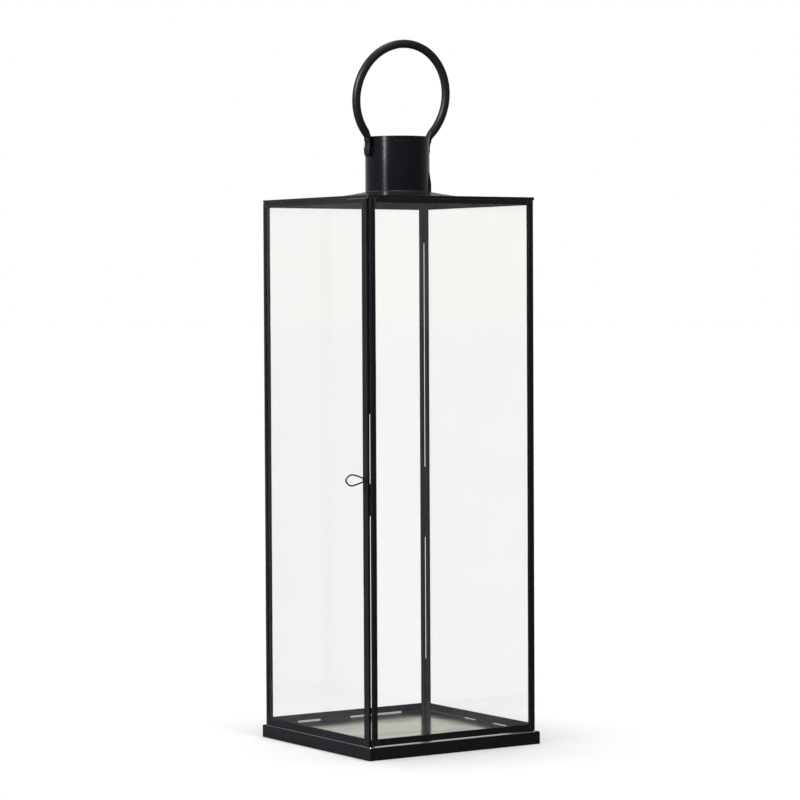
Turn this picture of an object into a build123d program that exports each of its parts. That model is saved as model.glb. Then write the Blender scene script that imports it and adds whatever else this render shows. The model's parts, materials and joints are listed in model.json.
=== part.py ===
"""Tall square candle lantern, mm, +Z up, origin at the centre of the base's underside.

The door is the face at -Y. It turns on two pins at the (-X, -Y) corner.
The carrying ring stands above the chimney in the plane of Y and Z, leaning slightly to +X.
"""
from build123d import *
import os
from math import sqrt

os.makedirs("parts", exist_ok=True)

# Base tray and floor
base_half = 100.0
tray_sheet = 1.0
tray_height = 12.0
tray_corner = 1.6
hem_round = 0.45
floor_sheet = 0.6
floor_half = 97.2
floor_top = 12.1

# Body: four glazed panels inside one square outline
body_half = 97.4
panel_thick = 2.8
panel_inset = 3.0
foot_height = 1.0
panel_bottom = floor_top + foot_height
panel_top = 535.0
rail_low_top = 19.3
rail_high_bottom = 530.6
stile_reaches = {"right": 8.2, "back": 7.1, "left": 6.9}
edge_round = 0.3

# Glass
glass_thick = 2.0
groove_width = 2.1
groove_depth = 2.6
groove_play = 0.1

# Door
door_gap = 0.1
door_lift = 0.2
door_bottom = floor_top + door_lift + door_gap
door_top = 534.5
hinge_edge = 0.4
hinge_stile_reach = 5.6
hinge_groove = 1.9
latch_stile_reach = 10.8
pin_radius = 0.6
pin_bore = 0.65
pin_engagement = 11.0
pin_collar_radius = 1.0
hinge_radius = panel_thick / 2
hinge_x = -body_half + hinge_edge + hinge_radius
hinge_y = -body_half + hinge_radius

# Corner angles and door stops
angle_sheet = 0.6
angle_leg = 3.2
stop_setback = 0.3
corner_low_top = 66.0
corner_high_bottom = 496.0
corner_middle = (192.0, 265.0)
stop_spans = {
    "door_stop_upper": (330.0, panel_top),
    "door_stop_middle": (233.0, 263.8),
    "door_stop_lower": (floor_top, 19.0),
}

# Roof
roof_half = 97.2
roof_top = 538.0
roof_sheet = 0.5
roof_bend = 0.4
roof_corner = 1.6
dome_radius = 76.0
dome_mid = (54.0, 540.9)
dome_top = 544.4
dome_crown = 33.8

# Chimney
chimney_radius = 31.6
chimney_wall = 0.6
chimney_top = 599.0
rim_radius = 31.9
rim_height = 5.0
rim_inner = 30.4
rim_round = 0.7
lug_angle = 57.0
lug_width = 8.0
lug_height = 20.0
lug_shoulder = 8.0
lug_out = 2.0
lug_tip = 0.3

# Carrying ring and its rivets
ring_bar = 4.15
ring_radius = 52.5
ring_bend = 7.0
ring_pivot = 586.0
ring_centre = 52.5
ring_end = 3.1
ring_lean = 9.0
arm_y = 34.95
arm_flat = 33.1
arm_face = 36.8
arm_flat_top = 16.0
arm_face_top = 6.3
arm_slope = (2.3, 2.9)
rivet_radius = 2.0
rivet_bore = 2.05
rivet_head = 3.2
rivet_head_height = 0.6
rivet_head_taper = 40
rivet_length_inside = 1.8
rivet_tail = 3.0
rivet_tail_height = 1.5
washer_radius = 4.4
washer_thick = 1.4

# Wire pull on the door
pull_x = body_half - 5.5
pull_z = 267.6
wire_radius = 0.75
wire_bore = 0.8
loop_neck = (2.8, 1.1)
loop_shoulder = (9.1, 3.7)
loop_widest = (15.0, 5.1)
loop_round = (20.2, 3.6)
loop_reach = 23.1
collar_radius = 1.9
collar_length = 2.5
plate_radius = 2.0
plate_thick = 0.4
clinch_radius = 1.6
clinch_thick = 0.6
clinch_gap = 0.1


def save(part, label):
    """Label one piece and write it to its own STEP file."""
    part.label = label
    export_step(part, f"parts/{label}.step")


def turned(part, quarter):
    """The same piece carried from the -Y face to another face by quarter turns about Z."""
    with BuildPart() as placed:
        add(part, rotation=(0, 0, 90 * quarter))
    return placed.part


def block(x_span, y_span, z_span):
    """A plain rectangular solid between the given limits."""
    centre = [(low + high) / 2 for low, high in (x_span, y_span, z_span)]
    size = [high - low for low, high in (x_span, y_span, z_span)]
    with BuildPart() as solid:
        with Locations(tuple(centre)):
            Box(*size)
    return solid.part


def stile(edge, reach, depth, z_span):
    """Upright folded channel on the -Y face, from its outer edge to its glazing edge."""
    middle_y = -body_half + panel_thick / 2
    inward = 1 if reach > edge else -1
    groove_x = reach - inward * depth / 2
    with BuildPart() as channel:
        with BuildSketch(Plane.XY.offset(z_span[0])) as outline:
            with Locations(((edge + reach) / 2, middle_y)):
                Rectangle(abs(reach - edge), panel_thick)
            fillet(outline.vertices(), edge_round)
            with Locations((groove_x, middle_y)):
                Rectangle(depth, groove_width, mode=Mode.SUBTRACT)
        extrude(amount=z_span[1] - z_span[0])
    return channel.part


def rail(x_span, z_span, opens_up):
    """Level folded channel on the -Y face, with its groove along the glazing edge."""
    middle_y = -body_half + panel_thick / 2
    if opens_up:
        groove_z = z_span[1] - groove_depth / 2
    else:
        groove_z = z_span[0] + groove_depth / 2
    with BuildPart() as channel:
        with BuildSketch(Plane.YZ.offset(x_span[0])) as outline:
            with Locations((middle_y, (z_span[0] + z_span[1]) / 2)):
                Rectangle(panel_thick, z_span[1] - z_span[0])
            fillet(outline.vertices(), edge_round)
            with Locations((middle_y, groove_z)):
                Rectangle(groove_width, groove_depth, mode=Mode.SUBTRACT)
        extrude(amount=x_span[1] - x_span[0])
    return channel.part


def pane(x_span):
    """Glass sheet on the -Y face, reaching into the grooves all round."""
    middle_y = -body_half + panel_thick / 2
    y_span = (middle_y - glass_thick / 2, middle_y + glass_thick / 2)
    low = rail_low_top - groove_depth + groove_play
    high = rail_high_bottom + groove_depth - groove_play
    return block(x_span, y_span, (low, high))


def angle(setback, z_span):
    """Thin L strip in the inner corner between the -Y face and the +X face."""
    corner_x = body_half - panel_thick
    corner_y = -body_half + panel_thick + setback
    points = [
        (corner_x, corner_y),
        (corner_x, corner_y + angle_leg),
        (corner_x - angle_sheet, corner_y + angle_leg),
        (corner_x - angle_sheet, corner_y + angle_sheet),
        (corner_x - angle_leg, corner_y + angle_sheet),
        (corner_x - angle_leg, corner_y),
    ]
    with BuildPart() as strip:
        with BuildSketch(Plane.XY.offset(z_span[0])):
            with BuildLine():
                Polyline(*points, close=True)
            make_face()
        extrude(amount=z_span[1] - z_span[0])
    return strip.part


def base_tray():
    """Open square tray with a soft upper edge; the lantern stands on its flat underside."""
    inner = 2 * (base_half - tray_sheet)
    with BuildPart() as tray:
        with BuildSketch() as outline:
            Rectangle(2 * base_half, 2 * base_half)
            fillet(outline.vertices(), tray_corner)
        extrude(amount=tray_height)
        with BuildSketch(Plane.XY.offset(tray_sheet)) as hollow:
            Rectangle(inner, inner)
            fillet(hollow.vertices(), tray_corner - tray_sheet)
        extrude(amount=tray_height - tray_sheet, mode=Mode.SUBTRACT)
        top_face = tray.faces().sort_by(Axis.Z)[-1]
        fillet(top_face.edges(), hem_round)
    return tray.part


def floor_plate():
    """Bright plate with turned-down edges that stand on the tray."""
    inner = 2 * (floor_half - floor_sheet)
    with BuildPart() as plate:
        with BuildSketch(Plane.XY.offset(tray_sheet)) as outline:
            Rectangle(2 * floor_half, 2 * floor_half)
            fillet(outline.vertices(), tray_corner)
        extrude(amount=floor_top - tray_sheet)
        fillet(plate.faces().sort_by(Axis.Z)[-1].edges(), hem_round)
        with BuildSketch(Plane.XY.offset(tray_sheet)):
            Rectangle(inner, inner)
        extrude(amount=floor_top - floor_sheet - tray_sheet, mode=Mode.SUBTRACT)
    return plate.part


def roof_panel():
    """Flat sheet with turned-down edges and a shallow pressed dome under the chimney."""
    bore = chimney_radius - chimney_wall
    inner = 2 * (roof_half - roof_sheet)
    with BuildPart() as roof:
        with BuildSketch(Plane.XY.offset(panel_top)) as outline:
            Rectangle(2 * roof_half, 2 * roof_half)
            fillet(outline.vertices(), roof_corner)
        extrude(amount=roof_top - panel_top)
        fillet(roof.faces().sort_by(Axis.Z)[-1].edges(), roof_bend)
        with BuildSketch(Plane.XY.offset(panel_top)) as hollow:
            Rectangle(inner, inner)
            fillet(hollow.vertices(), roof_corner - roof_sheet)
        extrude(amount=roof_top - roof_sheet - panel_top, mode=Mode.SUBTRACT)
        with BuildSketch(Plane.XY.offset(panel_top)):
            Circle(dome_radius - roof_sheet)
        extrude(amount=roof_top - panel_top, mode=Mode.SUBTRACT)
        with BuildSketch(Plane.XZ):
            with BuildLine():
                ThreePointArc((dome_radius, roof_top), dome_mid, (dome_crown, dome_top))
                Line((dome_crown, dome_top), (bore, dome_top))
                Line((bore, dome_top), (bore, dome_top - roof_sheet))
                Line((bore, dome_top - roof_sheet), (dome_crown, dome_top - roof_sheet))
                ThreePointArc(
                    (dome_crown, dome_top - roof_sheet),
                    (dome_mid[0] - roof_sheet / 4, dome_mid[1] - roof_sheet),
                    (dome_radius - roof_sheet, roof_top - roof_sheet),
                )
                Line((dome_radius - roof_sheet, roof_top - roof_sheet), (dome_radius, roof_top - roof_sheet))
                Line((dome_radius, roof_top - roof_sheet), (dome_radius, roof_top))
            make_face()
        revolve(axis=Axis.Z)
    return roof.part


def chimney_tube():
    """Sheet tube on the dome's crown, with a doubled rim and two rivet holes."""
    with BuildPart() as tube:
        with BuildSketch(Plane.XY.offset(dome_top)):
            Circle(chimney_radius)
            Circle(chimney_radius - chimney_wall, mode=Mode.SUBTRACT)
        extrude(amount=chimney_top - dome_top - rim_height)
        with BuildSketch(Plane.XY.offset(chimney_top - rim_height)):
            Circle(rim_radius)
            Circle(rim_inner, mode=Mode.SUBTRACT)
        extrude(amount=rim_height)
        rim_edges = tube.edges().filter_by(GeomType.CIRCLE).group_by(Axis.Z)[-1]
        fillet(rim_edges, rim_round)
        with Locations((0, 0, ring_pivot)):
            Cylinder(rivet_radius, 3 * chimney_radius, rotation=(90, 0, 0), mode=Mode.SUBTRACT)
    return tube.part


def chimney_lug():
    """Soldered lug at the foot of the chimney's seam, thinning upward."""
    outer = chimney_radius + lug_out
    profile = [
        (chimney_radius / 2, dome_top),
        (outer, dome_top),
        (outer, dome_top + lug_shoulder),
        (chimney_radius + lug_tip, dome_top + lug_height),
        (chimney_radius / 2, dome_top + lug_height),
    ]
    with BuildPart() as lug:
        with BuildSketch(Plane.XZ):
            with BuildLine():
                Polyline(*profile, close=True)
            make_face()
        extrude(amount=lug_width / 2, both=True)
        with Locations((0, 0, dome_top)):
            Cylinder(chimney_radius, 4 * lug_height, mode=Mode.SUBTRACT)
    with BuildPart() as placed:
        add(lug.part, rotation=(0, 0, lug_angle))
    return placed.part


def corner_angles(z_span):
    """Three soldered angles that join the fixed panels at the other three corners."""
    strip = angle(0, z_span)
    strip_behind_door = angle(stop_setback, z_span).mirror(Plane.YZ)
    with BuildPart() as angles:
        for quarter in (1, 2):
            add(strip, rotation=(0, 0, 90 * quarter))
        add(strip_behind_door)
    return angles.part


def panel_feet():
    """Low solder feet that hold the fixed panels clear of the floor."""
    spans = {
        1: ((0.018, 0.024), (0.970, 0.982)),
        2: ((0.018, 0.250), (0.380, 0.530), (0.640, 0.982)),
        3: ((0.018, 0.165), (0.490, 0.670), (0.810, 0.982)),
    }
    y_span = (-body_half + 2 * edge_round, -body_half + panel_thick - 2 * edge_round)
    pads = []
    for quarter, stretches in spans.items():
        for low, high in stretches:
            x_span = (body_half * (2 * low - 1), body_half * (2 * high - 1))
            pads.append(turned(block(x_span, y_span, (floor_top, panel_bottom)), quarter))
    with BuildPart() as feet:
        add(pads)
    return feet.part


def lower_pin():
    """Lower hinge pin on a collar that carries the door."""
    with BuildPart() as pin:
        with BuildSketch(Plane.XY.offset(floor_top)):
            with Locations((hinge_x, hinge_y)):
                Circle(pin_collar_radius)
        extrude(amount=door_lift)
        with BuildSketch(Plane.XY.offset(floor_top + door_lift)):
            with Locations((hinge_x, hinge_y)):
                Circle(pin_radius)
        extrude(amount=pin_engagement)
    return pin.part


def upper_pin():
    """Upper hinge pin, hanging from the roof."""
    ceiling = roof_top - roof_sheet
    with BuildPart() as pin:
        with BuildSketch(Plane.XY.offset(door_top - pin_engagement)):
            with Locations((hinge_x, hinge_y)):
                Circle(pin_radius)
        extrude(amount=ceiling - door_top + pin_engagement)
    return pin.part


def hinge_stile():
    """Door upright with a rolled edge, bored at both ends for the hinge pins."""
    reach = -body_half + hinge_stile_reach
    bottom = door_bottom
    bore_depth = pin_engagement + 2 * door_gap
    with BuildPart() as upright:
        with BuildSketch(Plane.XY.offset(bottom)):
            with Locations((hinge_x, hinge_y)):
                Circle(hinge_radius)
            with Locations(((hinge_x + reach) / 2, hinge_y)):
                Rectangle(reach - hinge_x, panel_thick)
            with Locations((reach - hinge_groove / 2, hinge_y)):
                Rectangle(hinge_groove, groove_width, mode=Mode.SUBTRACT)
        extrude(amount=door_top - bottom)
        for level in (bottom, door_top - bore_depth):
            with BuildSketch(Plane.XY.offset(level)):
                with Locations((hinge_x, hinge_y)):
                    Circle(pin_bore)
            extrude(amount=bore_depth, mode=Mode.SUBTRACT)
    return upright.part


def latch_stile():
    """Wide door upright with the hole that the wire pull turns in."""
    upright = stile(
        body_half - panel_inset,
        body_half - latch_stile_reach,
        groove_depth,
        (door_bottom, door_top),
    )
    with BuildPart() as bored:
        add(upright)
        with Locations((pull_x, -body_half + panel_thick / 2, pull_z)):
            Cylinder(wire_bore, 2 * panel_thick, rotation=(90, 0, 0), mode=Mode.SUBTRACT)
    return bored.part


def pull_plate():
    """Small washer on the door's face around the pull."""
    with BuildPart() as plate:
        with BuildSketch(Plane.XZ.offset(body_half)):
            with Locations((pull_x, pull_z)):
                Circle(plate_radius)
                Circle(wire_bore, mode=Mode.SUBTRACT)
        extrude(amount=plate_thick)
    return plate.part


def wire_pull():
    """Teardrop wire loop on a shank that passes through the stile and is clinched inside."""
    inner_y = -body_half + panel_thick + clinch_gap
    collar_y = -body_half - plate_thick - clinch_gap
    tip = (loop_reach - wire_radius, 0)
    outline = [loop_neck, loop_shoulder, loop_widest, loop_round, tip]
    with BuildPart() as pull:
        for side in (1, -1):
            points = [(-body_half - out, pull_z + side * up) for out, up in outline]
            with BuildLine(Plane.YZ.offset(pull_x)) as path:
                Spline(*points, tangents=[(-1, 0), (0, -side)])
            wire_edge = path.edges()[0]
            with BuildSketch(Plane(origin=wire_edge @ 0, z_dir=wire_edge % 0)):
                Circle(wire_radius)
            sweep(path=wire_edge)
        with BuildSketch(Plane.XZ.offset(-collar_y)):
            with Locations((pull_x, pull_z)):
                Circle(collar_radius)
        extrude(amount=collar_length)
        with BuildSketch(Plane.XZ.offset(-inner_y)):
            with Locations((pull_x, pull_z)):
                Circle(wire_radius)
        extrude(amount=inner_y - collar_y + collar_length / 2)
        with BuildSketch(Plane.XZ.offset(-inner_y)):
            with Locations((pull_x, pull_z)):
                Circle(clinch_radius)
        extrude(amount=-clinch_thick)
    return pull.part


def ring_rivets():
    """Two flat-headed rivets through the chimney wall that carry the ring's arms."""
    outer = arm_face + clinch_gap
    inner = chimney_radius - chimney_wall - rivet_length_inside
    with BuildPart() as rivets:
        with BuildSketch(Plane.XZ.offset(outer)):
            with Locations((0, ring_pivot)):
                Circle(rivet_head)
        extrude(amount=rivet_head_height, taper=rivet_head_taper)
        with BuildSketch(Plane.XZ.offset(inner)):
            with Locations((0, ring_pivot)):
                Circle(rivet_radius)
        extrude(amount=outer - inner)
        with BuildSketch(Plane.XZ.offset(inner)):
            with Locations((0, ring_pivot)):
                Circle(rivet_tail)
        extrude(amount=rivet_tail_height)
        mirror(about=Plane.XZ)
    return rivets.part


def ring_washers():
    """Spacing washers between the chimney and the ring's arms."""
    with BuildPart() as washers:
        with BuildSketch(Plane.XZ.offset(arm_flat - washer_thick - clinch_gap)):
            with Locations((0, ring_pivot)):
                Circle(washer_radius)
                Circle(rivet_radius, mode=Mode.SUBTRACT)
        extrude(amount=washer_thick)
        mirror(about=Plane.XZ)
        with Locations((0, 0, ring_pivot)):
            Cylinder(chimney_radius, 4 * washer_radius, mode=Mode.SUBTRACT)
    return washers.part


def ring_handle():
    """Round-bar ring whose flattened ends run down outside the chimney and swing on the rivets."""
    join_z = ring_centre - sqrt(ring_radius**2 - arm_y**2)
    shoulder_z = arm_face_top + arm_slope[1]
    waste = [
        (arm_face, -4 * ring_bar),
        (arm_face, arm_face_top),
        (arm_face + arm_slope[0], shoulder_z),
        (arm_face + 2 * ring_bar, shoulder_z),
        (arm_face + 2 * ring_bar, -4 * ring_bar),
    ]
    with BuildPart() as ring:
        with BuildLine(Plane.YZ) as path:
            Line((-arm_y, -ring_end), (-arm_y, join_z))
            ThreePointArc((-arm_y, join_z), (0, ring_centre + ring_radius), (arm_y, join_z))
            Line((arm_y, join_z), (arm_y, -ring_end))
            corners = path.vertices().group_by(Axis.Z)[1]
            fillet(corners, ring_bend)
        with BuildSketch(Plane.XY.offset(-ring_end)):
            with Locations((0, -arm_y)):
                Circle(ring_bar)
        sweep(path=path.wires()[0])
        for side in (-1, 1):
            with Locations((0, side * arm_y, -ring_end)):
                Sphere(ring_bar)
            with Locations((0, side * (arm_flat - ring_bar), 0)):
                Box(4 * ring_bar, 2 * ring_bar, 2 * arm_flat_top, mode=Mode.SUBTRACT)
            with BuildSketch(Plane.YZ):
                with BuildLine():
                    Polyline(*[(side * y, z) for y, z in waste], close=True)
                make_face()
            extrude(amount=2 * ring_bar, both=True, mode=Mode.SUBTRACT)
        Cylinder(rivet_bore, 3 * arm_y, rotation=(90, 0, 0), mode=Mode.SUBTRACT)
    with BuildPart() as leaned:
        with Locations((0, 0, ring_pivot)):
            add(ring.part, rotation=(0, ring_lean, 0))
    return leaned.part


fixed_faces = {"right": 1, "back": 2, "left": 3}
stile_edge = body_half - panel_inset
fixed_z = (panel_bottom, panel_top)
rail_low = (panel_bottom, rail_low_top)
rail_high = (rail_high_bottom, panel_top)
for face, quarter in fixed_faces.items():
    fixed_inner = body_half - stile_reaches[face]
    fixed_glass = fixed_inner + groove_depth - groove_play
    save(turned(stile(-stile_edge, -fixed_inner, groove_depth, fixed_z), quarter), f"{face}_stile_a")
    save(turned(stile(stile_edge, fixed_inner, groove_depth, fixed_z), quarter), f"{face}_stile_b")
    save(turned(rail((-fixed_inner, fixed_inner), rail_low, True), quarter), f"{face}_rail_lower")
    save(turned(rail((-fixed_inner, fixed_inner), rail_high, False), quarter), f"{face}_rail_upper")
    save(turned(pane((-fixed_glass, fixed_glass)), quarter), f"{face}_glass")

door_left = -body_half + hinge_stile_reach
door_right = body_half - latch_stile_reach
door_glass = (door_left - hinge_groove + groove_play, door_right + groove_depth - groove_play)
save(hinge_stile(), "door_hinge_stile")
save(latch_stile(), "door_latch_stile")
save(rail((door_left, door_right), (door_bottom, rail_low_top), True), "door_rail_lower")
save(rail((door_left, door_right), (rail_high_bottom, door_top), False), "door_rail_upper")
save(pane(door_glass), "door_glass")

for name, span in stop_spans.items():
    save(angle(stop_setback, span), name)
save(corner_angles((floor_top, corner_low_top)), "corner_angles_lower")
save(corner_angles((corner_high_bottom, panel_top)), "corner_angles_upper")
save(turned(angle(0, corner_middle), 2), "corner_angle_middle")
save(panel_feet(), "panel_feet")

save(base_tray(), "base_tray")
save(floor_plate(), "floor_plate")
save(roof_panel(), "roof_panel")
save(chimney_tube(), "chimney_tube")
save(chimney_lug(), "chimney_lug")
save(lower_pin(), "hinge_pin_lower")
save(upper_pin(), "hinge_pin_upper")
save(pull_plate(), "pull_plate")
save(wire_pull(), "wire_pull")
save(ring_rivets(), "ring_rivets")
save(ring_washers(), "ring_washers")
save(ring_handle(), "ring_handle")
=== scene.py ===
"""Candle lantern: looks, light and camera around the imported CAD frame. Metres, +Z up."""
import json
from math import atan2, ceil, cos, pi, radians, sin

import bmesh
import bpy
from mathutils import Matrix, Vector, noise


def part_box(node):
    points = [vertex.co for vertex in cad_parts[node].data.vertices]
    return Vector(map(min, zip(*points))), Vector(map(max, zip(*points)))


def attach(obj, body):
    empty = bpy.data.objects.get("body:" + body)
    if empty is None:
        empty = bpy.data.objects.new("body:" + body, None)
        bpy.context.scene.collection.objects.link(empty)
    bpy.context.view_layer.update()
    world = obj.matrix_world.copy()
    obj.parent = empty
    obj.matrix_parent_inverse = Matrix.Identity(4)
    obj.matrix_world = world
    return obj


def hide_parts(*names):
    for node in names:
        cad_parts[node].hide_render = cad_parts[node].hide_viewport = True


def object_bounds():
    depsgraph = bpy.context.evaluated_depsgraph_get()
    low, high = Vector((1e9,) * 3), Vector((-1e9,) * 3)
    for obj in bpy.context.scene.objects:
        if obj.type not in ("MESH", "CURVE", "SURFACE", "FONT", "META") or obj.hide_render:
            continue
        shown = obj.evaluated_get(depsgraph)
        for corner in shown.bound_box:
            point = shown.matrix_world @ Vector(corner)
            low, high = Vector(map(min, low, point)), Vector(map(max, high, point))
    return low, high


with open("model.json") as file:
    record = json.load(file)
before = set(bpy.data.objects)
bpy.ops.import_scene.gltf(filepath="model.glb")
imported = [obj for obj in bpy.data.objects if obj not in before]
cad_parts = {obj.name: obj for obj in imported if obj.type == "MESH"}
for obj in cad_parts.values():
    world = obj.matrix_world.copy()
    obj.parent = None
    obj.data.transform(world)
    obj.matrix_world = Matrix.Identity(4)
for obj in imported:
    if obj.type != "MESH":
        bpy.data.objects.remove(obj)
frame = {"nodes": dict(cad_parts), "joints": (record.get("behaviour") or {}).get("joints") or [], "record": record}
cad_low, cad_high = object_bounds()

MM = 0.001

# The glazed panels and the body that each belongs to
PANELS = (("right", "lantern"), ("back", "lantern"), ("left", "lantern"), ("door", "door"))

# Chimney: how far its doubled rim stands out and how far down it reaches, how deep the solder and
# the side seam sink into its wall, and the sides of a ring of points round it
RIM_PROUD = 0.3 * MM
RIM_DEPTH = 5.0 * MM
INTO_WALL = 0.2 * MM
CHIMNEY_SIDES = 180

# Camera: a long lens looking slightly down at the near corner
VIEW_AZIMUTH = 56.75
VIEW_DISTANCE = 3.025
VIEW_HEIGHT = 0.4432
VIEW_YAW = -0.031
VIEW_PITCH = 1.977
VIEW_ROLL = -0.285
LENS_MM = 137.3

# Light: a surround that is brighter at eye level, a sun overhead for the floor, and softboxes
SURROUND = 0.40
HORIZON = 0.62
OVERHEAD = 2.1


# ---------------------------------------------------------------- node helpers

class Tree:
    """Short ways to add and link nodes in one material."""

    def __init__(self, name):
        self.material = bpy.data.materials.new(name)
        self.material.use_nodes = True
        self.tree = self.material.node_tree
        self.tree.nodes.clear()
        self.output = self.add("ShaderNodeOutputMaterial")
        self.place = self.add("ShaderNodeTexCoord").outputs["Object"]

    def add(self, kind, **values):
        node = self.tree.nodes.new(kind)
        for key, value in values.items():
            setattr(node, key, value)
        return node

    def feed(self, socket, value):
        """Link another node's output to a socket, or set the socket's own value."""
        if isinstance(value, bpy.types.NodeSocket):
            self.tree.links.new(value, socket)
        else:
            socket.default_value = value

    def math(self, operation, a, b=0.0, clamp=False):
        node = self.add("ShaderNodeMath", operation=operation, use_clamp=clamp)
        self.feed(node.inputs[0], a)
        self.feed(node.inputs[1], b)
        return node.outputs[0]

    def stretched(self, scale):
        """Object coordinates scaled by a different number along each axis."""
        node = self.add("ShaderNodeMapping")
        self.feed(node.inputs["Vector"], self.place)
        node.inputs["Scale"].default_value = scale
        return node.outputs[0]

    def noise(self, scale, detail=3.0, rough=0.5, vector=None, distortion=0.0):
        node = self.add("ShaderNodeTexNoise")
        self.feed(node.inputs["Vector"], vector or self.place)
        node.inputs["Scale"].default_value = scale
        node.inputs["Detail"].default_value = detail
        node.inputs["Roughness"].default_value = rough
        node.inputs["Distortion"].default_value = distortion
        return node.outputs["Fac"]

    def span(self, value, low, high, to_low=0.0, to_high=1.0):
        """Map low..high to to_low..to_high, and hold the ends."""
        node = self.add("ShaderNodeMapRange", clamp=True)
        self.feed(node.inputs["Value"], value)
        node.inputs["From Min"].default_value = low
        node.inputs["From Max"].default_value = high
        node.inputs["To Min"].default_value = to_low
        node.inputs["To Max"].default_value = to_high
        return node.outputs[0]

    def mix(self, share, a, b):
        """Colour that goes from a to b as the share goes from 0 to 1."""
        node = self.add("ShaderNodeMix", data_type="RGBA")
        self.feed(node.inputs[0], share)
        self.feed(node.inputs[6], a)
        self.feed(node.inputs[7], b)
        return node.outputs[2]

    def bump(self, height, strength, distance, below=None):
        """A bumped normal, on top of another one if that is given."""
        node = self.add("ShaderNodeBump")
        self.feed(node.inputs["Strength"], strength)
        node.inputs["Distance"].default_value = distance
        self.feed(node.inputs["Height"], height)
        if below is not None:
            self.feed(node.inputs["Normal"], below)
        return node.outputs[0]

    def edges(self, radius):
        """1 along convex edges, 0 on flats: how far a bevelled normal leans from the true one."""
        bevel = self.add("ShaderNodeBevel", samples=6)
        bevel.inputs["Radius"].default_value = radius
        true = self.add("ShaderNodeNewGeometry").outputs["Normal"]
        dot = self.add("ShaderNodeVectorMath", operation="DOT_PRODUCT")
        self.feed(dot.inputs[0], bevel.outputs[0])
        self.feed(dot.inputs[1], true)
        return self.span(dot.outputs["Value"], 0.995, 0.80)

    def facing_z(self, low, high):
        """0 to 1 as the normal's Z goes from low to high."""
        true = self.add("ShaderNodeNewGeometry").outputs["Normal"]
        parts = self.add("ShaderNodeSeparateXYZ")
        self.feed(parts.inputs[0], true)
        return self.span(parts.outputs["Z"], low, high)

    def principled(self, **values):
        """A Principled shader on the output, its sockets named with _ for each space."""
        node = self.add("ShaderNodeBsdfPrincipled")
        for key, value in values.items():
            self.feed(node.inputs[key.replace("_", " ")], value)
        self.feed(self.output.inputs["Surface"], node.outputs[0])
        return node


# ---------------------------------------------------------------- materials

def paint(name, base, worn_and_highlight, roughness, specular, grain_scale, grain_depth):
    """Satin black paint: cloudy colour, fine grain, worn edges that also carry a painted highlight, dust on top
    and smooth undersides.
    """
    tree = Tree(name)
    cloud = tree.noise(14.0, 4.0, 0.6)
    grain = tree.noise(grain_scale, 2.0, 0.6)
    speck = tree.noise(650.0, 2.0, 0.7)

    # Colour: clouds of a darker shade, pale specks, and edges that are rubbed in places and lightened as a painted
    # highlight
    shade = tuple(0.70 * channel for channel in base[:3]) + (1.0,)
    colour = tree.mix(tree.span(cloud, 0.35, 0.68), shade, base)
    colour = tree.mix(tree.span(speck, 0.62, 0.80, 0.0, 0.22), colour, worn_and_highlight)
    handled = tree.span(tree.noise(120.0, 3.0), 0.34, 0.62)
    rubbed_and_highlit = tree.math("MULTIPLY", tree.edges(0.6 * MM), handled)
    colour = tree.mix(tree.math("MULTIPLY", rubbed_and_highlit, 0.75), colour, worn_and_highlight)

    # Dust: a thin film and scattered grains, on faces that look up
    film = tree.span(tree.noise(45.0, 5.0, 0.65), 0.30, 0.80, 0.01, 0.05)
    grains = tree.span(tree.noise(900.0, 2.0, 0.6), 0.62, 0.80, 0.0, 0.16)
    dust = tree.math("MULTIPLY", tree.facing_z(0.6, 1.0), tree.math("ADD", film, grains))
    colour = tree.mix(dust, colour, (0.15, 0.145, 0.13, 1.0))

    # Gloss: uneven, duller under dust, and much smoother on the undersides
    rough = tree.math("ADD", roughness, tree.span(cloud, 0.3, 0.7, -0.05, 0.06))
    rough = tree.math("ADD", rough, tree.span(grain, 0.3, 0.7, -0.03, 0.03))
    rough = tree.math("ADD", rough, tree.math("MULTIPLY", dust, 1.2), clamp=True)
    open_side = tree.facing_z(-0.98, -0.70)
    rough = tree.math("MULTIPLY", rough, tree.span(open_side, 0.0, 1.0, 0.14, 1.0))

    # Surface: slow waves in the sheet, and grain in the paint
    wave_strength = tree.span(open_side, 0.0, 1.0, 0.015, 0.25)
    waves = tree.bump(tree.noise(22.0, 1.0, 0.4), wave_strength, 0.6 * MM)
    normal = tree.bump(grain, tree.span(open_side, 0.0, 1.0, 0.0, 0.35), grain_depth, waves)
    shader = tree.principled(Base_Color=colour, Roughness=rough, Normal=normal)
    shader.inputs["Specular IOR Level"].default_value = specular
    return tree.material


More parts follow.
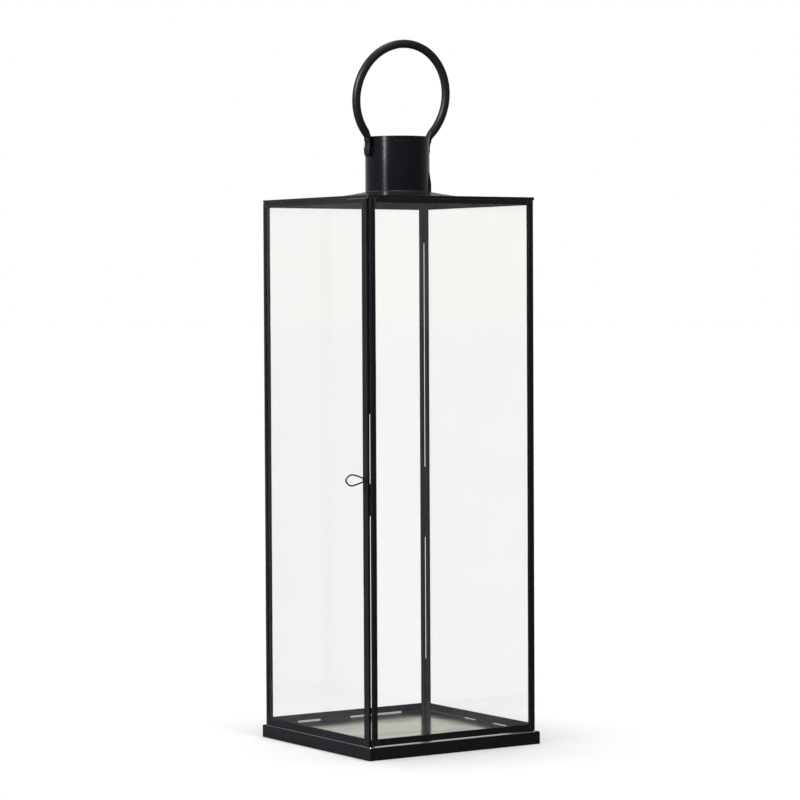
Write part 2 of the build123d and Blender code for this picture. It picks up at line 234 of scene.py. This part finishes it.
def bright_sheet(name):
    """Polished floor sheet: a faint drawn grain along Y, cloudy tarnish, streaks and dust."""
    tree = Tree(name)
    drawn = tree.noise(1.0, 3.0, 0.7, tree.stretched((900.0, 14.0, 900.0)))
    patch = tree.noise(16.0, 4.0, 0.55, distortion=0.6)
    cloud = tree.noise(9.0, 5.0, 0.62, distortion=1.2)
    smear = tree.noise(1.0, 4.0, 0.6, tree.stretched((46.0, 11.0, 46.0)), distortion=0.8)
    speck = tree.noise(420.0, 2.0, 0.7)

    # Colour: warm bright metal, then tarnish, smears, the drawn grain and specks of dirt
    warm, pale = (0.86, 0.82, 0.62, 1.0), (1.00, 0.97, 0.78, 1.0)
    colour = tree.mix(tree.span(patch, 0.3, 0.7), warm, pale)
    for layer, low, high, most, tone in (
        (cloud, 0.42, 0.66, 0.60, (0.62, 0.58, 0.41, 1.0)),
        (smear, 0.48, 0.70, 0.55, (0.46, 0.44, 0.35, 1.0)),
        (drawn, 0.35, 0.65, 0.25, (0.70, 0.69, 0.58, 1.0)),
        (speck, 0.66, 0.80, 0.30, (0.30, 0.28, 0.22, 1.0)),
    ):
        colour = tree.mix(tree.span(layer, low, high, 0.0, most), colour, tone)

    rough = tree.span(patch, 0.3, 0.7, 0.07, 0.16)
    rough = tree.math("ADD", rough, tree.span(drawn, 0.3, 0.7, 0.0, 0.03))
    rough = tree.math("ADD", rough, tree.span(cloud, 0.4, 0.7, 0.0, 0.07))
    waves = tree.bump(tree.noise(9.0, 2.0, 0.4), 0.35, 1.2 * MM)
    normal = tree.bump(drawn, 0.10, 0.03 * MM, waves)
    tree.principled(Base_Color=colour, Roughness=rough, Normal=normal, Metallic=1.0)
    return tree.material


def clear_glass(name):
    """Thin clear pane: what is behind shows straight through, with a mirror share at each face."""
    tree = Tree(name)
    head_on, grazing = 0.030, 0.96
    facing = tree.add("ShaderNodeLayerWeight").outputs["Facing"]
    mirror_share = tree.math("MULTIPLY", tree.math("POWER", facing, 5.0), grazing)
    mirror_share = tree.math("ADD", mirror_share, head_on)
    haze = tree.span(tree.noise(24.0, 5.0, 0.6), 0.45, 0.8, 0.0, 0.012)
    mirror_share = tree.math("ADD", mirror_share, haze, clamp=True)

    through = tree.add("ShaderNodeBsdfTransparent")
    through.inputs["Color"].default_value = (0.9925, 0.9960, 0.9880, 1.0)
    mirror = tree.add("ShaderNodeBsdfAnisotropic")
    mirror.inputs["Color"].default_value = (0.95, 0.98, 0.97, 1.0)
    rough = tree.span(tree.noise(60.0, 4.0, 0.6), 0.4, 0.8, 0.015, 0.10)
    tree.feed(mirror.inputs["Roughness"], rough)
    tree.feed(mirror.inputs["Normal"], tree.bump(tree.noise(7.0, 1.0, 0.3), 0.15, 1.0 * MM))

    both = tree.add("ShaderNodeMixShader")
    tree.feed(both.inputs[0], mirror_share)
    tree.feed(both.inputs[1], through.outputs[0])
    tree.feed(both.inputs[2], mirror.outputs[0])
    tree.feed(tree.output.inputs["Surface"], both.outputs[0])
    return tree.material


def pale_floor(name):
    """Plain pale studio floor with the slightest mottling; it throws little light back up."""
    tree = Tree(name)
    mottled = tree.mix(tree.noise(3.0, 3.0), (0.93, 0.93, 0.93, 1.0), (0.96, 0.96, 0.96, 1.0))
    seen = tree.add("ShaderNodeLightPath").outputs["Is Camera Ray"]
    colour = tree.mix(seen, (0.36, 0.36, 0.37, 1.0), mottled)
    shader = tree.principled(Base_Color=colour, Roughness=0.8)
    shader.inputs["Specular IOR Level"].default_value = 0.0
    return tree.material


# Paints: base colour, colour where it is worn and of the painted edge highlight, roughness, specular level, grain
# scale and depth
PAINTS = {
    "black_metal": ((0.0052, 0.0054, 0.0070, 1), (0.060, 0.062, 0.068, 1), 0.23, 0.12, 900, 0.05 * MM),
    # The chimney's paint is a darker copy of the black metal paint, painted shade on the chimney
    "chimney_black_painted_shade": ((0.0024, 0.0026, 0.0042, 1), (0.060, 0.062, 0.068, 1), 0.17, 0.10, 900, 0.05 * MM),
    "black_bar": ((0.0066, 0.0066, 0.0067, 1), (0.050, 0.049, 0.047, 1), 0.40, 0.16, 1100, 0.12 * MM),
    "black_wire": ((0.0075, 0.0075, 0.0082, 1), (0.060, 0.060, 0.060, 1), 0.30, 0.20, 1600, 0.03 * MM),
    "solder": ((0.0080, 0.0083, 0.0095, 1), (0.070, 0.070, 0.072, 1), 0.34, 0.18, 700, 0.15 * MM),
}
MATERIALS = {name: paint(name, *values) for name, values in PAINTS.items()}
MATERIALS["bright_floor"] = bright_sheet("bright_floor")
MATERIALS["clear_glass"] = clear_glass("clear_glass")


def dress_cad_nodes():
    """Each shown CAD node takes the material of its slot, but the chimney takes a darker copy of the black paint,
    painted shade.
    """
    finish = {part["node"]: part["material_slot"] for part in frame["record"]["subparts"]}
    finish["chimney_tube"] = "chimney_black_painted_shade"
    for name, node in frame["nodes"].items():
        node.data.materials.clear()
        node.data.materials.append(MATERIALS[finish[name]])


# ---------------------------------------------------------------- mesh helpers

def piece(name, shape, slot, body, *stands_for, finish=None):
    """Turn a bmesh into a smooth-shaded object on a body, with its slot's material or a finish."""
    bmesh.ops.recalc_face_normals(shape, faces=shape.faces)
    mesh = bpy.data.meshes.new(name)
    shape.to_mesh(mesh)
    shape.free()
    mesh.shade_smooth()
    mesh.materials.append(MATERIALS[finish or slot])
    made = bpy.data.objects.new(name, mesh)
    bpy.context.scene.collection.objects.link(made)
    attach(made, body)
    if stands_for:
        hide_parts(*stands_for)


def skin(shape, rows, closed=False):
    """Quads between rows of one length; closed joins last to first, otherwise the ends are capped."""
    rings = [[shape.verts.new(point) for point in row] for row in rows]
    pairs = list(zip(rings, rings[1:]))
    if closed:
        pairs.append((rings[-1], rings[0]))
    for one, two in pairs:
        for i in range(len(one)):
            j = (i + 1) % len(one)
            shape.faces.new((one[i], one[j], two[j], two[i]))
    if not closed:
        shape.faces.new(rings[0][::-1])
        shape.faces.new(rings[-1])


def circle_angles(sides):
    """Evenly spaced angles once round a circle."""
    return [2 * pi * i / sides for i in range(sides)]


def around_axis(profile, sides):
    """Rows for skin(): a closed profile of (radius, height) given by angle, turned about Z."""
    return [
        [Vector((r * cos(angle), r * sin(angle), z)) for r, z in profile(angle)]
        for angle in circle_angles(sides)
    ]


def smooth_step(value, low, high):
    """0 below low, 1 above high, and an easy S between."""
    share = min(1.0, max(0.0, (value - low) / (high - low)))
    return share * share * (3 - 2 * share)


def wobble(point, scale):
    """A number about -1 to 1 that depends only on the place, to vary handwork."""
    return noise.noise(Vector(point) * scale)


# ---------------------------------------------------------------- chimney

def chimney_rim_fold():
    """The rolled lower edge of the doubled rim."""
    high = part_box("chimney_tube")[1]
    sunk = 0.12 * MM
    fold_sides = 10

    def profile(angle):
        size = (0.34 + 0.05 * wobble((cos(angle), sin(angle), 0), 3.0)) * MM
        return [
            (high.x - sunk + size * cos(k), high.z - RIM_DEPTH + size * sin(k))
            for k in circle_angles(fold_sides)
        ]

    shape = bmesh.new()
    skin(shape, around_axis(profile, CHIMNEY_SIDES), closed=True)
    piece("chimney_rim_fold", shape, "black_metal", "lantern", finish="chimney_black_painted_shade")


def chimney_solder():
    """A hollow fillet of solder at the chimney's foot, wider and narrower as it goes round."""
    low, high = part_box("chimney_tube")
    wall = high.x - RIM_PROUD
    under = 0.15 * MM
    arc_steps = 5

    def profile(angle):
        here = (cos(angle), sin(angle), 0)
        size = (0.85 + 0.35 * wobble(here, 9.0) + 0.15 * wobble(here, 34.0)) * MM
        arc = [
            (wall + size * (1 - sin(k)), low.z + size * (1 - cos(k)))
            for k in (0.5 * pi * n / arc_steps for n in range(arc_steps + 1))
        ]
        sunk_corners = [
            (wall - INTO_WALL, low.z + size),
            (wall - INTO_WALL, low.z - under),
            (wall + size, low.z - under),
        ]
        return sunk_corners + arc

    shape = bmesh.new()
    skin(shape, around_axis(profile, 2 * CHIMNEY_SIDES), closed=True)
    piece("chimney_solder", shape, "solder", "lantern")


def chimney_side_seam():
    """The lapped seam of the chimney's sheet, from its foot to the rim, above the lug."""
    low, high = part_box("chimney_tube")
    wall = high.x - RIM_PROUD
    lug_low, lug_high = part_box("chimney_lug")
    seam_at = atan2(lug_low.y + lug_high.y, lug_low.x + lug_high.x)
    bottom = low.z + 0.5 * MM
    top = high.z - RIM_DEPTH - 0.3 * MM
    half_lap = 2.6 * MM
    thick = 0.4 * MM
    up_steps = 14
    across_steps = 8
    rows = []
    for i in range(up_steps + 1):
        z = bottom + (top - bottom) * i / up_steps
        half = half_lap * (1 + 0.05 * wobble((0, 0, z), 90.0))
        outer, inner = [], []
        for n in range(across_steps + 1):
            across = -1 + 2 * n / across_steps
            angle = seam_at + across * half / wall
            outward = Vector((cos(angle), sin(angle), 0))
            rise = thick * (1 - smooth_step(abs(across), 0.72, 1.0))
            outer.append(outward * (wall + rise) + Vector((0, 0, z)))
            inner.append(outward * (wall - INTO_WALL) + Vector((0, 0, z)))
        rows.append(outer + inner[::-1])
    shape = bmesh.new()
    skin(shape, rows)
    piece("chimney_side_seam", shape, "black_metal", "lantern", finish="chimney_black_painted_shade")


# ---------------------------------------------------------------- carrying ring

def half_ring_path(arm, arm_end, bar_radius, radius, centre):
    """One side of the ring in its own plane, from the arm's tip to just before the ring's top.

    The pivot is the origin. The arm's middle is at Y = arm, and it is straight down to arm_end below
    the pivot. Each place is a point, the way along the bar and the share of its full width there.
    """
    # The bend from the straight arm out to the ring is an arc that touches both
    bend = 7.0 * MM
    bend_y = arm + bend
    bend_z = centre - ((radius + bend) ** 2 - bend_y**2) ** 0.5
    turn = atan2(bend_y, centre - bend_z)
    start = turn - pi / 2
    tip_steps, arm_steps, bend_steps, ring_steps = 7, 15, 8, 70
    upward = Vector((0, 0, 1))

    places = []
    for i in range(tip_steps):
        k = 0.5 * pi * (1 - i / tip_steps)
        places.append((Vector((0, arm, -arm_end - bar_radius * sin(k))), upward, cos(k)))
    for i in range(arm_steps):
        z = -arm_end + (bend_z + arm_end) * i / arm_steps
        places.append((Vector((0, arm, z)), upward, 1.0))
    for i in range(bend_steps):
        k = pi - (pi / 2 - turn) * i / bend_steps
        at = Vector((0, bend_y + bend * cos(k), bend_z + bend * sin(k)))
        places.append((at, Vector((0, sin(k), -cos(k))), 1.0))
    for i in range(ring_steps):
        k = start + (pi / 2 - start) * i / ring_steps
        at = Vector((0, radius * cos(k), centre + radius * sin(k)))
        places.append((at, Vector((0, -sin(k), cos(k))), 1.0))
    return places


def ring_section(at, along, share, bar_radius, arm_half):
    """The bar's outline at one place: round in the ring, and drawn down to a thin flat arm below.

    Each shoulder is where the thickness changes, as heights above the pivot.
    """
    inner_shoulder = (13.5 * MM, 17.5 * MM)
    outer_shoulder = (5.6 * MM, 9.6 * MM)
    spread = 0.10
    squareness = 0.45
    thinnest_tip = 0.35
    sides = 20

    out = Vector((1, 0, 0)).cross(along)
    outside = 1 if at.y > 0 else -1
    hammer = 1 + 0.008 * wobble(at, 120.0)
    drawn_down = 1 - smooth_step(at.z, *outer_shoulder)
    width = bar_radius * (1 + spread * drawn_down) * share * hammer
    thick_in = arm_half + (bar_radius - arm_half) * smooth_step(at.z, *inner_shoulder)
    thick_out = arm_half + (bar_radius - arm_half) * smooth_step(at.z, *outer_shoulder)
    row = []
    for k in circle_angles(sides):
        faces_in = (sin(k) * out).y * outside < 0
        thick = thick_in if faces_in else thick_out
        power = 1.0 - squareness * (1 - smooth_step(thick, arm_half, bar_radius))
        edge = abs(sin(k)) ** power * (1 if sin(k) > 0 else -1)
        depth = edge * thick * max(share, thinnest_tip) * hammer
        row.append(at + Vector((width * cos(k), 0, 0)) + out * depth)
    return row


def carrying_ring():
    """Forged carrying ring: round bar whose ends are drawn down into thin rounded eyes."""
    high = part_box("ring_handle")[1]
    pivot = Vector(next(j for j in frame["joints"] if j["name"] == "ring_swing")["pos_m"])
    grip = Vector(next(m for m in frame["record"]["mounts"] if m["name"] == "ring_top")["pos_m"])

    # The grip is the inner side of the ring's top, so with the lean and the box it gives the bar
    lean = atan2(grip.x - pivot.x, grip.z - pivot.z)
    reach = (grip - pivot).length
    bar_radius = (high.z - pivot.z - reach * cos(lean)) / (1 + cos(lean))
    radius = high.y - bar_radius
    centre = reach + bar_radius - radius

    # The arms stand between the washers and the rivets' heads, with a gap on both sides
    gap = 0.1 * MM
    rivet_head = 0.6 * MM
    arm_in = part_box("ring_washers")[1].y + gap
    arm_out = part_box("ring_rivets")[1].y - rivet_head - gap
    arm_half = 0.5 * (arm_out - arm_in)
    arm_end = 3.1 * MM

    half = half_ring_path(arm_in + arm_half, arm_end, bar_radius, radius, centre)
    top = (Vector((0, 0, centre + radius)), Vector((0, -1, 0)), 1.0)
    other_half = [
        (Vector((0, -at.y, at.z)), Vector((0, along.y, -along.z)), share)
        for at, along, share in reversed(half)
    ]
    tilt = Matrix.Rotation(lean, 4, "Y")
    rows = []
    for at, along, share in half + [top] + other_half:
        section = ring_section(at, along, share, bar_radius, arm_half)
        rows.append([pivot + tilt @ point for point in section])
    shape = bmesh.new()
    skin(shape, rows)
    piece("carrying_ring", shape, "black_bar", "ring", "ring_handle")


# ---------------------------------------------------------------- panels and corners

def panel_frame(name):
    """Boxes of a panel's uprights and rails, and the numbers of the axes along it and through it."""
    stiles = [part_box(node) for node in frame["nodes"] if node.startswith(name) and "stile" in node]
    rails = [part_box(node) for node in frame["nodes"] if node.startswith(name) and "rail" in node]
    axis_along = 0 if name in ("back", "door") else 1
    return stiles, rails, axis_along, 1 - axis_along


def panel_point(axis_along, along, axis_through, through, z):
    """A point given by its place along the panel, through it and up."""
    point = Vector((0, 0, z))
    point[axis_along] = along
    point[axis_through] = through
    return point


def framed_loop(corners, radius, step):
    """Rows along a closed rectangle of points: a round bead that wanders a little, mitred corners."""
    sides = 8
    wander = 0.08 * MM
    rows = []
    middle = sum(corners, Vector()) / len(corners)
    face = (corners[1] - corners[0]).cross(corners[2] - corners[1]).normalized()
    for one, two in zip(corners, corners[1:] + corners[:1]):
        run = two - one
        count = max(2, ceil(run.length / step))
        outward = run.cross(face).normalized()
        if outward.dot(one - middle) < 0:
            outward = -outward
        to_corner = (one - middle) - face * (one - middle).dot(face)
        mitre = Vector([0.0 if abs(c) < MM else (1.0 if c > 0 else -1.0) for c in to_corner])
        for i in range(count):
            at = one + run * i / count
            size = radius * (1 + 0.18 * wobble(at, 60.0))
            across = mitre if i == 0 else outward
            shift = outward * (wander * wobble(at, 25.0)) if i else Vector()
            rows.append([
                at + shift + across * (size * cos(k)) + face * (size * sin(k))
                for k in circle_angles(sides)
            ])
    return rows


def glazing_lips():
    """The folded lips of the channels, a fine bead round each pane on both faces of the frame."""
    radius = 0.42 * MM
    tucked = 0.30 * MM
    sunk = 0.12 * MM
    step = 9.0 * MM
    for name, body in PANELS:
        stiles, rails, axis_along, axis_through = panel_frame(name)
        start = min(high[axis_along] for low, high in stiles) - tucked
        end = max(low[axis_along] for low, high in stiles) + tucked
        bottom = min(high.z for low, high in rails) - tucked
        top = max(low.z for low, high in rails) + tucked
        low_face = max(low[axis_through] for low, high in rails) + sunk
        high_face = min(high[axis_through] for low, high in rails) - sunk
        shape = bmesh.new()
        for through in (low_face, high_face):
            corners = [
                panel_point(axis_along, along, axis_through, through, z)
                for along, z in ((start, bottom), (end, bottom), (end, top), (start, top))
            ]
            skin(shape, framed_loop(corners, radius, step), closed=True)
        piece(name + "_glazing_lip", shape, "black_metal", body)


def bead(shape, start, end, radius, outward, squeeze):
    """A lumpy soldered bead from one point to another: a tube with rounded ends, flattened outward."""
    step = 0.8 * MM
    sides = 10
    along = (end - start).normalized()
    side = along.cross(outward).normalized()
    length = (end - start).length
    steps = max(6, ceil(length / step))
    rows = []
    for i in range(steps + 1):
        share = i / steps
        at = start + (end - start) * share
        taper = min(1.0, 0.15 + min(share, 1 - share) * length / radius) ** 0.5
        size = radius * taper * (1 + 0.22 * wobble(at, 420.0) + 0.12 * wobble(at, 1300.0))
        rows.append([
            at + side * (size * cos(k)) + outward * (squeeze * size * sin(k))
            for k in circle_angles(sides)
        ])
    skin(shape, rows)


def corner_seams():
    """Soldered upright seams at the four corners of the tray's skirt and of the roof's turned edge."""
    corner_radius = 1.6 * MM
    sunk = 0.12 * MM
    bead_radius = 0.42 * MM
    for name, node, from_low, height in (
        ("tray_corner_seams", "base_tray", 0.5 * MM, 10.9 * MM),
        ("roof_corner_seams", "roof_panel", 0.3 * MM, 2.2 * MM),
    ):
        low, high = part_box(node)
        out = high.x - corner_radius + (corner_radius - sunk) * cos(pi / 4)
        shape = bmesh.new()
        for x, y in ((1, 1), (-1, 1), (-1, -1), (1, -1)):
            foot = Vector((x * out, y * out, low.z + from_low))
            top = foot + Vector((0, 0, height))
            bead(shape, foot, top, bead_radius, Vector((x, y, 0)).normalized(), squeeze=0.75)
        piece(name, shape, "solder", "lantern")


def rail_welds():
    """Short beads where each rail meets its uprights, outside and inside."""
    bead_radius = 0.75 * MM
    short_of_end = 0.7 * MM
    sunk = 0.05 * MM
    for name, body in PANELS:
        stiles, rails, axis_along, axis_through = panel_frame(name)
        start = min(high[axis_along] for low, high in stiles)
        end = max(low[axis_along] for low, high in stiles)
        shape = bmesh.new()
        for low, high in rails:
            foot_z, top_z = low.z + short_of_end, high.z - short_of_end
            for along in (start, end):
                for face, way in ((low[axis_through], -1), (high[axis_through], 1)):
                    through = face - way * sunk
                    outward = panel_point(axis_along, 0, axis_through, way, 0)
                    foot = panel_point(axis_along, along, axis_through, through, foot_z)
                    top = panel_point(axis_along, along, axis_through, through, top_z)
                    bead(shape, foot, top, bead_radius, outward, squeeze=0.35)
        piece(name + "_rail_welds", shape, "solder", body)


# ---------------------------------------------------------------- stage

def floor_disc(radius=40.0, sides=96):
    """A plain level floor under the lantern, out to the horizon on every side."""
    under_the_tray = 0.2 * MM
    shape = bmesh.new()
    rim = [shape.verts.new((radius * cos(k), radius * sin(k), 0.0)) for k in circle_angles(sides)]
    shape.faces.new(rim)
    mesh = bpy.data.meshes.new("studio_floor")
    shape.to_mesh(mesh)
    shape.free()
    mesh.materials.append(pale_floor("pale_floor"))
    disc = bpy.data.objects.new("studio_floor", mesh)
    bpy.context.scene.collection.objects.link(disc)
    disc.location.z = cad_low.z - under_the_tray
    return disc


def left_out_of_light(disc):
    """A light-linking group that leaves the floor out, so that its white stays even."""
    group = bpy.data.collections.new("all_but_floor")
    group.objects.link(disc)
    group.collection_objects[0].light_linking.link_state = "EXCLUDE"
    return group


def softbox(name, receivers, azimuth, elevation, distance, width, height, power, tint):
    """A rectangular lamp in that direction from the lantern's middle, lighting the receivers."""
    aim = Vector((0.0, 0.0, 0.5 * (cad_low.z + cad_high.z)))
    turn, rise = radians(azimuth), radians(elevation)
    back = Vector((sin(turn) * cos(rise), -cos(turn) * cos(rise), sin(rise)))
    lamp = bpy.data.lights.new(name, "AREA")
    lamp.shape = "RECTANGLE"
    lamp.size = width
    lamp.size_y = height
    lamp.energy = power
    lamp.color = tint
    holder = bpy.data.objects.new(name, lamp)
    bpy.context.scene.collection.objects.link(holder)
    holder.location = aim + back * distance
    holder.rotation_euler = back.to_track_quat("Z", "Y").to_euler()
    holder.light_linking.receiver_collection = receivers


def overhead_sun():
    """Light from straight above that makes the floor as pale as the surround."""
    lamp = bpy.data.lights.new("overhead", "SUN")
    lamp.energy = OVERHEAD
    lamp.angle = radians(30.0)
    holder = bpy.data.objects.new("overhead", lamp)
    bpy.context.scene.collection.objects.link(holder)


def studio_world():
    """White to the camera; as light it is dimmer, and brightest in a band at eye level."""
    world = bpy.data.worlds.new("studio")
    bpy.context.scene.world = world
    world.use_nodes = True
    tree = world.node_tree
    tree.nodes.clear()
    link = tree.links.new
    out = tree.nodes.new("ShaderNodeOutputWorld")
    seen = tree.nodes.new("ShaderNodeBackground")
    seen.inputs["Color"].default_value = (1.0, 1.0, 1.0, 1.0)
    seen.inputs["Strength"].default_value = 1.0
    parts = tree.nodes.new("ShaderNodeSeparateXYZ")
    link(tree.nodes.new("ShaderNodeTexCoord").outputs["Generated"], parts.inputs[0])
    band = tree.nodes.new("ShaderNodeMapRange")
    link(parts.outputs["Z"], band.inputs["Value"])
    band.inputs["From Min"].default_value = 0.12
    band.inputs["From Max"].default_value = 0.35
    band.inputs["To Min"].default_value = HORIZON
    band.inputs["To Max"].default_value = SURROUND
    light = tree.nodes.new("ShaderNodeBackground")
    light.inputs["Color"].default_value = (0.97, 0.985, 1.0, 1.0)
    link(band.outputs[0], light.inputs["Strength"])
    path = tree.nodes.new("ShaderNodeLightPath")
    both = tree.nodes.new("ShaderNodeMixShader")
    link(path.outputs["Is Camera Ray"], both.inputs[0])
    link(light.outputs[0], both.inputs[1])
    link(seen.outputs[0], both.inputs[2])
    link(both.outputs[0], out.inputs["Surface"])


def camera():
    """The viewpoint: azimuth, distance and height, with a small tilt and roll."""
    azimuth = radians(VIEW_AZIMUTH)
    turn = radians(VIEW_AZIMUTH + VIEW_YAW)
    pitch = radians(VIEW_PITCH)
    roll = radians(VIEW_ROLL)
    ahead = Vector((-sin(turn) * cos(pitch), cos(turn) * cos(pitch), -sin(pitch)))
    level = Vector((cos(turn), sin(turn), 0.0))
    upright = level.cross(ahead)
    right = cos(roll) * level + sin(roll) * upright
    up = cos(roll) * upright - sin(roll) * level
    lens = bpy.data.cameras.new("camera")
    lens.lens = LENS_MM
    lens.sensor_width = 36.0
    lens.clip_start = 0.05
    lens.clip_end = 200.0
    holder = bpy.data.objects.new("camera", lens)
    bpy.context.scene.collection.objects.link(holder)
    holder.matrix_world = Matrix(
        (
            (right.x, up.x, -ahead.x, sin(azimuth) * VIEW_DISTANCE),
            (right.y, up.y, -ahead.y, -cos(azimuth) * VIEW_DISTANCE),
            (right.z, up.z, -ahead.z, VIEW_HEIGHT),
            (0.0, 0.0, 0.0, 1.0),
        )
    )
    bpy.context.scene.camera = holder


dress_cad_nodes()
chimney_rim_fold()
chimney_solder()
chimney_side_seam()
carrying_ring()
glazing_lips()
corner_seams()
rail_welds()

all_but_floor = left_out_of_light(floor_disc())
studio_world()
overhead_sun()
camera()
softbox("strip_door_side", all_but_floor, azimuth=11.0, elevation=23.0, distance=2.4,
        width=0.30, height=1.1, power=165.0, tint=(1.0, 0.92, 0.96))
softbox("key_front", all_but_floor, azimuth=100.0, elevation=38.0, distance=3.2,
        width=1.6, height=1.6, power=14.0, tint=(1.0, 1.0, 1.0))
bpy.context.scene.view_settings.view_transform = "Standard"
